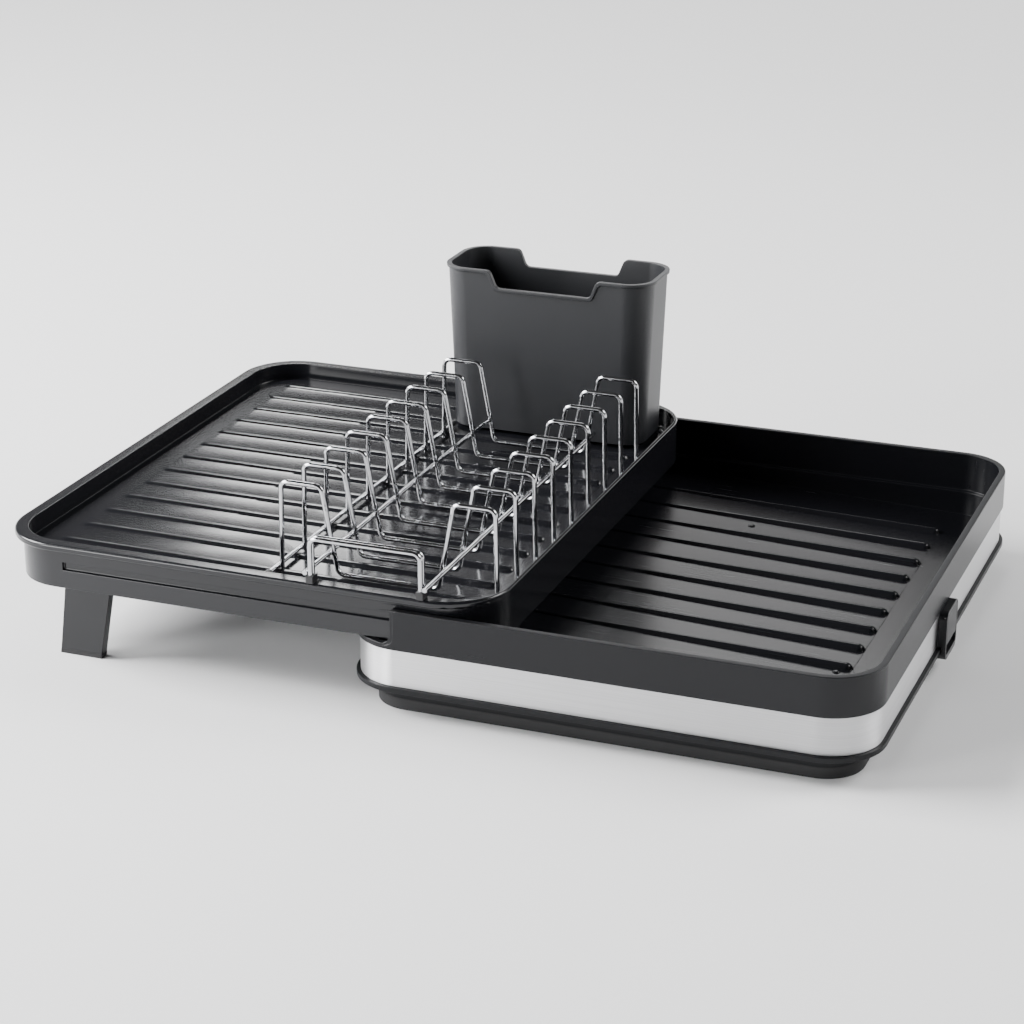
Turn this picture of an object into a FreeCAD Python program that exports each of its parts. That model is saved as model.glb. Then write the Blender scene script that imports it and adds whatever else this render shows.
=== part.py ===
import FreeCAD, Part
import math
import os
import Sketcher

# Expandable dish rack: a fixed drip base and a tray that slides out to the left.
# Millimetres. +X runs from the sliding tray to the drain, +Y to the back, +Z up.
# The origin is on the table, below the middle of the rack as it stands pulled out.

doc = FreeCAD.newDocument("DishRack")
sheet = doc.addObject("Spreadsheet::Sheet", "Sizes")

# Driving dimensions, one list for each piece or group of pieces.
sizes = {
    "general": {
        "slideGap": 0.3,        # gap kept between pieces that move past or rest on each other
        "weldGap": 0.05,        # gap between two wires that are welded side by side
        "pinFit": 0.05,         # radial play of a pin in its hole
        "overcut": 5.0,         # how far a cutting shape runs past the face that it opens
    },
    "base": {
        "baseCentre": 123.0,    # middle of the base along X
        "baseLength": 340.0,    # steel band, along X
        "baseDepth": 412.0,     # steel band, along Y
        "steelCorner": 34.3,
        "steelSheet": 0.8,
        "steelBottom": 20.5,
        "steelTop": 45.8,
        "steelPlay": 0.2,       # between the steel sheet and the shoulder behind it
        "bandProud": 1.5,       # upper band beyond the steel
        "bandWall": 4.5,
        "bandTop": 72.5,
        "shoulderDrop": 3.3,    # shoulder behind the top of the steel
        "ledgeTop": 45.0,
        "ledgeWidth": 3.5,
        "basinWall": 2.5,
        "basinCorner": 27.0,
        "floorHigh": 37.6,      # basin floor at its left end
        "floorLow": 26.7,       # basin floor at its drain end
        "floorSheet": 2.5,
        "notchLength": 34.0,    # the band is cut down here, where the tray passes
        "notchTop": 49.5,
        "notchFillet": 6.0,     # inner corner of the notch, seen from the front
        "notchRound": 3.0,      # outer corner at the top of the notch
        "notchStep": 2.4,       # how far the band's outer skin stands back from the notch
        "notchStepDepth": 1.0,
    },
    "base ribs": {
        "baseRibCount": 11,
        "baseRibPitch": 31.24,
        "baseRibLeft": -30.0,
        "baseRibRight": 250.0,
        "baseRibStart": 0.5,    # height above the floor at the left
        "baseRibRise": 3.6,     # height above the floor at the drain end
        "baseRibTip": 1.2,      # rib radius at the left
        "baseRibNose": 4.6,     # rib radius at the drain end
    },
    "bottom": {
        "flangeProud": 2.7,
        "flangeThickness": 3.5,
        "coverSheet": 2.0,
        "plinthInset": 10.5,
        "plinthWall": 4.0,
        "plinthCorner": 26.0,
        "footHeight": 7.5,
        "footWall": 7.0,
        "footTuck": 3.0,        # how far the foot reaches up inside the plinth
        "bossRadius": 4.0,
        "screwInset": 34.0,     # screw centres, in from the steel
        "screwRadius": 1.6,
        "screwLength": 10.0,
        "screwHeadRadius": 3.4,
        "screwHeadHeight": 2.4,
        "screwPlay": 0.1,
    },
    "drain": {
        "drainCentre": -9.5,    # middle of the drain along Y
        "drainWidth": 33.0,
        "drainBottom": 11.0,
        "drainTop": 45.0,
        "drainDepth": 6.0,      # how far the housing stands out from the steel
        "drainBackPlate": 1.8,
        "drainSideWall": 2.6,
        "drainLip": 4.0,
        "drainMouth": 7.0,      # opening that the flap leaves above the lip
        "drainCorner": 6.0,
        "neckRadius": 5.0,
        "neckBore": 3.5,
        "neckHeight": 32.5,
        "sealThickness": 1.5,
        "sealProud": 2.0,
        "flapThickness": 3.4,
        "flapPinRadius": 0.9,
        "flapPinHeight": 41.0,
    },
    "guides": {
        "tabPastNotch": 3.5,
        "tabLength": 20.0,
        "tabBottom": 63.6,
        "tabHeight": 4.7,
        "tabReach": 2.0,        # how far the tab enters the slot
        "tabPlateMargin": 1.0,
    },
    "tray": {
        "trayLeft": -299.0,
        "trayRight": 52.0,
        "skirtPlay": 1.0,       # between the tray's skirt and the base's band on each side
        "rimTop": 82.5,
        "rimBottom": 77.5,
        "rimOverhang": 5.3,
        "rimWidth": 9.3,
        "rimCorner": 42.6,
        "rimRound": 1.8,
        "skirtBottom": 50.5,
        "skirtWall": 2.4,
        "rightLip": 2.1,
        "floorLeft": 72.3,      # tray floor at its left end
        "floorRight": 70.3,     # tray floor at the end that drains into the base
        "traySheet": 2.2,
        "gutterWidth": 8.4,
        "gutterDepth": 2.0,
        "slotLeft": -249.0,
        "slotBottom": 63.3,
        "slotHeight": 5.3,
        "slotBacking": 2.0,     # rail behind the slot, so it is a closed groove
        "slotEndMargin": 14.0,  # slot's end, in from the tray's right face
        "trayRibCount": 13,
        "trayRibPitch": 28.5,
        "trayRibLeft": -262.2,
        "trayRibRight": 29.5,
        "trayRibTop": 73.1,
        "trayRibTip": 9.0,
        "trayRibNose": 4.6,
    },
    "legs": {
        "legBottomLeft": -259.0,
        "legBottomWidth": 30.4,
        "legTopLeft": -251.0,
        "legTopWidth": 33.0,
        "legThickness": 7.4,
        "legInset": 11.0,       # middle of the leg along Y, in from the skirt's outer face
        "hingeHeight": 57.5,
        "legPinRadius": 2.0,
        "legKnuckle": 4.3,
        "legPadHeight": 3.0,
        "earThickness": 3.0,
        "earWidth": 11.0,
        "bracketPlate": 3.0,
    },
    "plate rack": {
        "rackRightGap": 1.05,   # between the right foot rail and the tray's right lip
        "firstWireFromRib": 1.0, # first wire, behind the middle of the tray's first rib
        "wirePitch": 34.0,
        "wireCount": 9,
        "wireDiameter": 3.2,
        "hoopFoot": 74.5,       # half the span of the feet
        "hoopOuter": 73.3,      # half the span of the outer legs at the top
        "hoopInner": 45.5,      # half the span of the inner corners at the top
        "baseBend": 34.7,       # half the length of the run along the tray
        "wireHeight": 58.5,     # top of the wire above its run along the tray
        "wireBend": 5.0,
        "upperRailRise": 14.5,
        "guardInset": 3.3,      # guard, in from the front of the tray's rim
        "guardHeight": 37.5,    # top of the guard above the run along the tray
        "footRailAhead": 17.0,
        "footRailBeyond": 22.0,
        "hookForward": 56.0,    # right foot rail beyond the last wire
        "hookLength": 9.0,
        "hookReach": 6.5,
        "capLength": 9.0,       # push-on caps of the left foot rail
        "capWall": 0.7,
        "guardCapHeight": 5.0,  # caps under the guard's legs
        "guardCapFloor": 1.0,
    },
    "holder": {
        "holderCentreX": -37.5,
        "holderFromBack": 39.0, # holder's middle, from the tray's back wall
        "holderLength": 158.0,  # at the top, without the rim
        "holderDepth": 63.0,
        "holderTop": 195.5,
        "holderTaperX": 5.0,    # drawn in at the bottom on each side
        "holderTaperY": 3.0,
        "holderWall": 2.2,
        "holderFloor": 2.4,
        "holderCornerTop": 19.0,
        "holderCornerBottom": 16.0,
        "holderRimProud": 1.5,
        "holderRimHeight": 2.4,
        "dipTopHalf": 41.0,
        "dipBottomHalf": 35.8,
        "dipDepth": 12.8,
        "dipRound": 4.5,
        "drainSlotCount": 7,
        "drainSlotPitch": 18.0,
        "drainSlotWidth": 4.0,
        "drainSlotLength": 34.0,
    },
}

row = 0
for group in sizes.values():
    for alias, number in group.items():
        row += 1
        sheet.set("A%d" % row, alias)
        sheet.set("B%d" % row, str(number))
        sheet.setAlias("B%d" % row, alias)
doc.recompute()


# A length that knows both its number and the sheet expression that gives it.
class Length:
    def __init__(self, number, words):
        self.number = float(number)
        self.words = words

    def __add__(self, other):
        other = asLength(other)
        return Length(self.number + other.number, "(%s + %s)" % (self.words, other.words))

    def __radd__(self, other):
        return asLength(other) + self

    def __sub__(self, other):
        other = asLength(other)
        return Length(self.number - other.number, "(%s - %s)" % (self.words, other.words))

    def __rsub__(self, other):
        return asLength(other) - self

    def __mul__(self, factor):
        factor = asLength(factor)
        return Length(self.number * factor.number, "(%s * %s)" % (self.words, factor.words))

    def __rmul__(self, factor):
        return asLength(factor) * self

    def __truediv__(self, divisor):
        divisor = asLength(divisor)
        return Length(self.number / divisor.number, "(%s / %s)" % (self.words, divisor.words))

    def __neg__(self):
        return Length(-self.number, "(0 - %s)" % self.words)


def asLength(value):
    if isinstance(value, Length):
        return value
    return Length(value, repr(float(value)))


def size(alias):
    return Length(sheet.get(alias), "Sizes." + alias)


def slant(run, rise):
    # Length of a slope, from its run and its rise.
    return Length(math.hypot(run.number, rise.number), "sqrt(%s ^ 2 + %s ^ 2)" % (run.words, rise.words))


nothing = asLength(0)
parts = {}


def bind(thing, path, length):
    thing.setExpression(path, asLength(length).words)


def keep(thing, node):
    # Marks an object as a sub-part: its label names its file.
    thing.Label = node
    parts[node] = thing
    return thing


# Sketches

def newSketch(body, name, role, lift=nothing):
    plane = [item for item in body.Origin.OriginFeatures if item.Role == role][0]
    sketch = body.newObject("Sketcher::SketchObject", name)
    sketch.AttachmentSupport = [(plane, "")]
    sketch.MapMode = "FlatFace"
    sketch.AttachmentOffset.Base.z = asLength(lift).number
    bind(sketch, "AttachmentOffset.Base.z", lift)
    return sketch


def fix(sketch, kind, items, length):
    # Adds a dimension and ties it to the sheet.
    index = sketch.addConstraint(Sketcher.Constraint(kind, *items, length.number))
    bind(sketch, "Constraints[%d]" % index, length)


def flat(across, up):
    return FreeCAD.Vector(across, up, 0)


def roundedRectangle(sketch, left, right, bottom, top, radius):
    # Four sides and four quarter arcs, tangent all round.
    x0, x1 = left.number, right.number
    y0, y1 = bottom.number, top.number
    r = radius.number
    first = sketch.GeometryCount
    corners = [(x1 - r, y0 + r, -90), (x1 - r, y1 - r, 0), (x0 + r, y1 - r, 90), (x0 + r, y0 + r, 180)]
    starts = [(x0 + r, y0), (x1, y0 + r), (x1 - r, y1), (x0, y1 - r)]
    ends = [(x1 - r, y0), (x1, y1 - r), (x0 + r, y1), (x0, y0 + r)]
    for start, end, corner in zip(starts, ends, corners):
        sketch.addGeometry(Part.LineSegment(flat(*start), flat(*end)))
        circle = Part.Circle(flat(corner[0], corner[1]), FreeCAD.Vector(0, 0, 1), r)
        turn = math.radians(corner[2])
        sketch.addGeometry(Part.ArcOfCircle(circle, turn, turn + math.pi / 2))
    sides = [first + 2 * side for side in range(4)]
    arcs = [side + 1 for side in sides]
    for side, arc, after in zip(sides, arcs, sides[1:] + sides[:1]):
        sketch.addConstraint(Sketcher.Constraint("Tangent", side, 2, arc, 1))
        sketch.addConstraint(Sketcher.Constraint("Tangent", arc, 2, after, 1))
    sketch.addConstraint(Sketcher.Constraint("Horizontal", sides[0]))
    sketch.addConstraint(Sketcher.Constraint("Vertical", sides[1]))
    sketch.addConstraint(Sketcher.Constraint("Horizontal", sides[2]))
    sketch.addConstraint(Sketcher.Constraint("Vertical", sides[3]))
    for arc in arcs[1:]:
        sketch.addConstraint(Sketcher.Constraint("Equal", arcs[0], arc))
    fix(sketch, "Radius", (arcs[0],), radius)
    fix(sketch, "DistanceY", (sides[0], 1), bottom)
    fix(sketch, "DistanceX", (sides[1], 1), right)
    fix(sketch, "DistanceY", (sides[2], 1), top)
    fix(sketch, "DistanceX", (sides[3], 1), left)


def polygon(sketch, points):
    first = sketch.GeometryCount
    total = len(points)
    for place in range(total):
        here, there = points[place], points[(place + 1) % total]
        sketch.addGeometry(Part.LineSegment(
            flat(here[0].number, here[1].number), flat(there[0].number, there[1].number)))
    for place in range(total):
        following = first + (place + 1) % total
        sketch.addConstraint(Sketcher.Constraint("Coincident", first + place, 2, following, 1))
        fix(sketch, "DistanceX", (first + place, 1), asLength(points[place][0]))
        fix(sketch, "DistanceY", (first + place, 1), asLength(points[place][1]))


def circle(sketch, across, up, radius):
    across, up, radius = asLength(across), asLength(up), asLength(radius)
    centre = flat(across.number, up.number)
    index = sketch.addGeometry(Part.Circle(centre, FreeCAD.Vector(0, 0, 1), radius.number))
    fix(sketch, "Radius", (index,), radius)
    fix(sketch, "DistanceX", (index, 3), across)
    fix(sketch, "DistanceY", (index, 3), up)


def bentPath(sketch, points, bend):
    # An open wire route: straight runs joined by tangent arcs of one radius.
    spots = [flat(point[0].number, point[1].number) for point in points]
    radius = bend.number
    trims = []
    for place in range(1, len(spots) - 1):
        back = (spots[place - 1] - spots[place]).normalize()
        ahead = (spots[place + 1] - spots[place]).normalize()
        half = back.getAngle(ahead) / 2
        reach = radius / math.tan(half)
        centre = spots[place] + (back + ahead).normalize() * (radius / math.sin(half))
        trims.append((spots[place] + back * reach, spots[place] + ahead * reach, centre))
    starts = [spots[0]] + [trim[1] for trim in trims]
    ends = [trim[0] for trim in trims] + [spots[-1]]
    lines = [sketch.addGeometry(Part.LineSegment(a, b)) for a, b in zip(starts, ends)]
    for place, (enter, leave, centre) in enumerate(trims):
        middle = (enter + leave) / 2
        crown = centre + (middle - centre).normalize() * radius
        arc = sketch.addGeometry(Part.Arc(enter, crown, leave))
        turnsLeft = (enter - centre).cross(leave - centre).z > 0
        enterEnd, leaveEnd = (1, 2) if turnsLeft else (2, 1)
        sketch.addConstraint(Sketcher.Constraint("Tangent", lines[place], 2, arc, enterEnd))
        sketch.addConstraint(Sketcher.Constraint("Tangent", arc, leaveEnd, lines[place + 1], 1))
        fix(sketch, "Radius", (arc,), bend)
        corner = sketch.addGeometry(Part.Point(spots[place + 1]), True)
        sketch.addConstraint(Sketcher.Constraint("PointOnObject", corner, 1, lines[place]))
        sketch.addConstraint(Sketcher.Constraint("PointOnObject", corner, 1, lines[place + 1]))
        fix(sketch, "DistanceX", (corner, 1), points[place + 1][0])
        fix(sketch, "DistanceY", (corner, 1), points[place + 1][1])
    fix(sketch, "DistanceX", (lines[0], 1), points[0][0])
    fix(sketch, "DistanceY", (lines[0], 1), points[0][1])
    fix(sketch, "DistanceX", (lines[-1], 2), points[-1][0])
    fix(sketch, "DistanceY", (lines[-1], 2), points[-1][1])


# Solids

def newBody(name):
    return doc.addObject("PartDesign::Body", name)


def pad(body, sketch, length, both=False):
    feature = body.newObject("PartDesign::Pad", sketch.Name + "Pad")
    feature.Profile = sketch
    feature.Length = asLength(length).number
    feature.Midplane = both
    bind(feature, "Length", length)
    sketch.Visibility = False
    doc.recompute()
    return feature


def pocket(body, sketch, depth, both=False, reverse=False):
    before = body.Shape.Volume
    feature = body.newObject("PartDesign::Pocket", sketch.Name + "Pocket")
    feature.Profile = sketch
    feature.Length = asLength(depth).number
    feature.Midplane = both
    feature.Reversed = reverse
    bind(feature, "Length", depth)
    doc.recompute()
    if body.Shape.Volume > before - 0.01:
        raise RuntimeError("pocket %s cut nothing" % feature.Name)
    return feature


def prism(name, outline, bottom, top):
    # A body standing on the level `bottom`: outline is (left, right, front, back, corner radius).
    body = newBody(name)
    sketch = newSketch(body, name + "Outline", "XY_Plane", bottom)
    roundedRectangle(sketch, *outline)
    pad(body, sketch, top - bottom)
    return body


def sideSlab(name, points, width):
    # A body whose outline is drawn in the XZ plane and runs `width` along Y, half each way.
    body = newBody(name)
    sketch = newSketch(body, name + "Profile", "XZ_Plane")
    polygon(sketch, [(asLength(x), asLength(z)) for x, z in points])
    pad(body, sketch, width, both=True)
    return body


def roundCorners(body, spots, radius):
    # Rounds a slab's edges that run along Y through the spots (x, z).
    plain = body.Tip
    doc.recompute()
    edges = []
    for number, edge in enumerate(plain.Shape.Edges, 1):
        near, far = (edge.Vertexes[0].Point, edge.Vertexes[-1].Point)
        along = abs(near.x - far.x) + abs(near.z - far.z) < 1e-6 < abs(near.y - far.y)
        if along and any(math.hypot(near.x - x.number, near.z - z.number) < 1e-3 for x, z in spots):
            edges.append("Edge%d" % number)
    rounding = body.newObject("PartDesign::Fillet", "%sRounding%d" % (body.Name, len(body.Group)))
    rounding.Base = (plain, edges)
    bind(rounding, "Radius", radius)
    doc.recompute()
    return body


def block(name, low, high):
    # A plain box between two corners.
    box = doc.addObject("Part::Box", name)
    for axis, side in enumerate(("Length", "Width", "Height")):
        bind(box, side, asLength(high[axis]) - asLength(low[axis]))
        bind(box, "Placement.Base." + "xyz"[axis], low[axis])
    return box


def rod(name, start, direction, radius, length):
    # A cylinder from a start point along X, Y or Z.
    cylinder = doc.addObject("Part::Cylinder", name)
    turns = {"X": ((0, 1, 0), 90), "Y": ((1, 0, 0), -90), "Z": ((0, 0, 1), 0)}
    axis, angle = turns[direction]
    cylinder.Placement.Rotation = FreeCAD.Rotation(FreeCAD.Vector(*axis), angle)
    bind(cylinder, "Radius", radius)
    bind(cylinder, "Height", length)
    for axis, place in zip("xyz", start):
        bind(cylinder, "Placement.Base." + axis, place)
    return cylinder


def combine(kind, name, *things):
    if len(things) == 2:
        result = doc.addObject("Part::" + kind, name)
        result.Base, result.Tool = things
    else:
        result = doc.addObject("Part::MultiFuse", name)
        result.Shapes = list(things)
    doc.recompute()
    return result


def cut(name, base, tool):
    return combine("Cut", name, base, tool)


def common(name, base, tool):
    return combine("Common", name, base, tool)


def fuse(name, *things):
    return combine("Fuse", name, *things)


def taperedRibs(name, count, pitch, left, right, topLeft, topRight, tip, nose):
    # Long ribs with round ends that grow towards +X, evenly spaced about Y = 0.
    pieces = []
    run = right - left
    rise = (topRight - nose) - (topLeft - tip)
    for place in range(int(count.number)):
        across = pitch * place - pitch * (count - 1) / 2
        rib = newBody("%sRidge%d" % (name, place + 1))
        sketch = newSketch(rib, "%sHalf%d" % (name, place + 1), "XZ_Plane")
        ribProfile(sketch, run, tip, nose)
        turn = rib.newObject("PartDesign::Revolution", sketch.Name + "Turn")
        turn.Profile = sketch
        turn.ReferenceAxis = (sketch, ["H_Axis"])
        turn.Angle = 360
        tilt = -math.degrees(math.atan(rise.number / run.number))
        rib.Placement.Rotation = FreeCAD.Rotation(FreeCAD.Vector(0, 1, 0), tilt)
        rib.setExpression("Placement.Rotation.Angle", "0 deg - atan(%s / %s)" % (rise.words, run.words))
        bind(rib, "Placement.Base.x", left)
        bind(rib, "Placement.Base.y", across)
        bind(rib, "Placement.Base.z", topLeft - tip)
        pieces.append(rib)
    doc.recompute()
    return fuse(name, *pieces)


def ribProfile(sketch, run, tip, nose):
    # Half of a rib: round tip, sloping ridge, round nose and the middle line.
    axis = FreeCAD.Vector(0, 0, 1)
    tipCircle = Part.Circle(flat(0, 0), axis, tip.number)
    noseCircle = Part.Circle(flat(run.number, 0), axis, nose.number)
    start = sketch.addGeometry(Part.ArcOfCircle(tipCircle, math.pi / 2, math.pi))
    ridge = sketch.addGeometry(Part.LineSegment(flat(0, tip.number), flat(run.number, nose.number)))
    arc = sketch.addGeometry(Part.ArcOfCircle(noseCircle, 0, math.pi / 2))
    middle = sketch.addGeometry(Part.LineSegment(flat(run.number + nose.number, 0), flat(-tip.number, 0)))
    sketch.addConstraint(Sketcher.Constraint("Coincident", start, 1, ridge, 1))
    sketch.addConstraint(Sketcher.Constraint("Coincident", ridge, 2, arc, 2))
    sketch.addConstraint(Sketcher.Constraint("Coincident", arc, 1, middle, 1))
    sketch.addConstraint(Sketcher.Constraint("Coincident", middle, 2, start, 2))
    sketch.addConstraint(Sketcher.Constraint("Coincident", start, 3, -1, 1))
    sketch.addConstraint(Sketcher.Constraint("PointOnObject", ridge, 1, -2))
    sketch.addConstraint(Sketcher.Constraint("PointOnObject", start, 2, -1))
    sketch.addConstraint(Sketcher.Constraint("PointOnObject", arc, 1, -1))
    sketch.addConstraint(Sketcher.Constraint("PointOnObject", arc, 3, -1))
    fix(sketch, "DistanceY", (ridge, 1), tip)
    fix(sketch, "DistanceX", (ridge, 2), run)
    fix(sketch, "DistanceY", (ridge, 2), nose)
    fix(sketch, "DistanceX", (arc, 3), run)


# Places worked out from the driving dimensions

slideGap = size("slideGap")
weldGap = size("weldGap")
pinFit = size("pinFit")
overcut = size("overcut")

steelLeft = size("baseCentre") - size("baseLength") / 2
steelRight = size("baseCentre") + size("baseLength") / 2
steelHalf = size("baseDepth") / 2
bandLeft = steelLeft - size("bandProud")
bandHalf = steelHalf + size("bandProud")


def baseOutline(outset, corner=None):
    # The base's rounded outline, moved out (or in, when negative) from the steel's outer face.
    outset = asLength(outset)
    radius = corner if corner is not None else size("steelCorner") + outset
    return (steelLeft - outset, steelRight + outset, -steelHalf - outset, steelHalf + outset, radius)


bandInset = size("bandProud") - size("bandWall")
basinInset = bandInset - size("ledgeWidth")
basinOuter = basinInset + size("basinWall")
basinLeft = steelLeft - basinInset
basinRight = steelRight + basinInset
floorSlope = (size("floorHigh") - size("floorLow")) / (basinRight - basinLeft)


def floorAt(along):
    return size("floorHigh") - floorSlope * (along - basinLeft)


def belowFloor(name, drop):
    # Everything under the sloping basin floor, lowered by `drop`.
    left = basinLeft - overcut
    right = basinRight + overcut
    deep = -overcut
    points = [(left, deep), (right, deep), (right, floorAt(right) - drop), (left, floorAt(left) - drop)]
    return sideSlab(name, points, size("baseDepth") + 2 * overcut)


# Base

def notchSlab(name, across, down):
    # What opens the band for the sliding tray, moved right by `across` and down by `down`.
    left = bandLeft - overcut
    right = bandLeft + size("notchLength") + across
    low = size("notchTop") - down
    top = size("bandTop")
    far = right + 2 * size("notchRound")
    points = [(left, low), (right, low), (right, top), (far, top), (far, top + overcut), (left, top + overcut)]
    slab = sideSlab(name, points, 2 * (bandHalf + overcut))
    roundCorners(slab, [(right, low)], size("notchFillet"))
    return roundCorners(slab, [(right, top)], size("notchRound"))


def makeBaseTray():
    overlap = size("floorSheet")
    band = prism("BandOuter", baseOutline(size("bandProud")), size("steelTop"), size("bandTop"))
    shoulderTop = size("steelTop") + size("bandWall") / 2
    shoulder = prism("Shoulder", baseOutline(-size("steelSheet") - size("steelPlay")),
                     size("steelTop") - size("shoulderDrop"), shoulderTop)
    bandInside = prism("BandInside", baseOutline(bandInset), size("ledgeTop"), size("bandTop") + overcut)
    basin = prism("BasinOuter", baseOutline(basinOuter, size("basinCorner") + size("basinWall")),
                  size("flangeThickness"), size("ledgeTop"))
    under = belowFloor("UnderBasin", size("floorSheet"))
    shell = fuse("BaseShell", band, shoulder, cut("BasinBlock", basin, under))
    shell = cut("BaseShellOpen", shell, bandInside)
    cavityTall = prism("CavityTall", baseOutline(basinInset, size("basinCorner")),
                       size("steelBottom"), size("ledgeTop") + overcut)
    shell = cut("BaseBasin", shell, cut("Cavity", cavityTall, belowFloor("UnderCavity", nothing)))
    ribTopLeft = floorAt(size("baseRibLeft")) + size("baseRibStart")
    ribTopRight = floorAt(size("baseRibRight")) + size("baseRibRise")
    ribs = taperedRibs("BaseRibs", size("baseRibCount"), size("baseRibPitch"), size("baseRibLeft"),
                       size("baseRibRight"), ribTopLeft, ribTopRight, size("baseRibTip"), size("baseRibNose"))
    ribs = cut("BaseRibsTrimmed", ribs, belowFloor("UnderRibs", overlap / 2))
    bosses = []
    for place, (across, along) in enumerate(screwPlaces()):
        bottom = coverTop
        height = floorAt(across) - size("floorSheet") / 2 - bottom
        bosses.append(rod("Boss%d" % (place + 1), (across, along, bottom), "Z", size("bossRadius"), height))
    shell = fuse("BaseWithBosses", shell, *bosses)
    shell = fuse("BaseWithRibs", shell, ribs)
    cuts = []
    for place, (across, along) in enumerate(screwPlaces()):
        cuts.append(rod("BossHole%d" % (place + 1), (across, along, coverTop - overcut), "Z",
                        size("screwRadius") + size("screwPlay"), overcut + size("screwLength")))
    cuts.append(notchSlab("Notch", nothing, nothing))
    step = notchSlab("NotchStep", size("notchStep"), size("notchStep") / 2)
    stepFace = bandHalf - size("notchStepDepth")
    between = block("BetweenSteps", (bandLeft - 2 * overcut, -stepFace, size("ledgeTop")),
                    (bandLeft + 3 * size("notchLength"), stepFace, size("bandTop") + 2 * overcut))
    cuts.append(cut("NotchSteps", step, between))
    cuts.append(rod("DrainHole", (basinRight - overcut, size("drainCentre"), size("neckHeight")), "X",
                    size("neckBore"), 2 * overcut + size("basinWall")))
    return keep(cut("base_tray", shell, fuse("BaseCuts", *cuts)), "base_tray")


coverTop = size("steelBottom") - size("flangeThickness")


def screwPlaces():
    inset = size("screwInset")
    columns = [steelLeft + inset, size("baseCentre"), steelRight - inset]
    rows = [-steelHalf + inset, steelHalf - inset]
    return [(across, along) for across in columns for along in rows]


def makeSteelBand():
    outer = prism("SteelOuter", baseOutline(nothing), size("steelBottom"), size("steelTop"))
    sketch = newSketch(outer, "SteelInside", "XY_Plane", size("steelTop"))
    roundedRectangle(sketch, *baseOutline(-size("steelSheet")))
    pocket(outer, sketch, size("steelTop") - size("steelBottom"))
    hole = rod("SteelHole", (steelRight - overcut, size("drainCentre"), size("neckHeight")), "X",
               size("neckRadius") + size("steelPlay"), 2 * overcut)
    return keep(cut("steel_band", outer, hole), "steel_band")


plinthInner = -size("plinthInset") - size("plinthWall")


def makeBottomCover():
    cover = prism("CoverFlange", baseOutline(size("flangeProud")), coverTop, size("steelBottom"))
    sketch = newSketch(cover, "CoverInside", "XY_Plane", size("steelBottom"))
    roundedRectangle(sketch, *baseOutline(plinthInner, size("plinthCorner") - size("plinthWall")))
    pocket(cover, sketch, size("flangeThickness"))
    sheetBottom = coverTop - size("coverSheet")
    sketch = newSketch(cover, "CoverSheet", "XY_Plane", sheetBottom)
    roundedRectangle(sketch, *baseOutline(-size("plinthInset"), size("plinthCorner")))
    pad(cover, sketch, size("coverSheet"))
    sketch = newSketch(cover, "Plinth", "XY_Plane", size("footHeight"))
    roundedRectangle(sketch, *baseOutline(-size("plinthInset"), size("plinthCorner")))
    pad(cover, sketch, sheetBottom - size("footHeight"))
    sketch = newSketch(cover, "PlinthInside", "XY_Plane", sheetBottom)
    roundedRectangle(sketch, *baseOutline(plinthInner, size("plinthCorner") - size("plinthWall")))
    pocket(cover, sketch, sheetBottom - size("footHeight"))
    sketch = newSketch(cover, "ScrewHoles", "XY_Plane", size("steelBottom"))
    for across, along in screwPlaces():
        circle(sketch, across, along, size("screwRadius") + size("screwPlay"))
    pocket(cover, sketch, size("steelBottom"))
    return keep(cover, "bottom_cover")


def makeFootRing():
    outer = baseOutline(-size("plinthInset"), size("plinthCorner"))
    ring = prism("FootOuter", outer, nothing, size("footHeight"))
    tuck = -size("plinthInset") - size("plinthWall") - size("steelPlay")
    tuckCorner = size("plinthCorner") - size("plinthWall") - size("steelPlay")
    sketch = newSketch(ring, "FootTuck", "XY_Plane", size("footHeight") / 2)
    roundedRectangle(sketch, *baseOutline(tuck, tuckCorner))
    pad(ring, sketch, size("footHeight") / 2 + size("footTuck"))
    inner = -size("plinthInset") - size("footWall")
    sketch = newSketch(ring, "FootInside", "XY_Plane", size("footHeight") + size("footTuck"))
    roundedRectangle(sketch, *baseOutline(inner, size("plinthCorner") - size("footWall")))
    pocket(ring, sketch, size("footHeight") + size("footTuck"))
    return keep(ring, "foot_ring")


def makeScrews():
    screws = []
    sheetBottom = coverTop - size("coverSheet")
    for place, (across, along) in enumerate(screwPlaces()):
        head = rod("ScrewHead%d" % (place + 1), (across, along, sheetBottom - size("screwHeadHeight")), "Z",
                   size("screwHeadRadius"), size("screwHeadHeight"))
        shank = rod("ScrewShank%d" % (place + 1), (across, along, sheetBottom - size("screwHeadHeight") / 2),
                    "Z", size("screwRadius"),
                    size("screwHeadHeight") / 2 + size("coverSheet") + size("screwLength") - slideGap)
        screws.append(fuse("Screw%d" % (place + 1), head, shank))
    group = doc.addObject("Part::Compound", "base_screws")
    group.Links = screws
    return keep(group, "base_screws")


# Drain on the right side

drainLeft = steelRight + size("steelPlay") / 2
drainRight = steelRight + size("drainDepth")
drainFront = size("drainCentre") - size("drainWidth") / 2
drainBack = size("drainCentre") + size("drainWidth") / 2
flapPinAlong = drainRight - size("flapThickness") / 2


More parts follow.
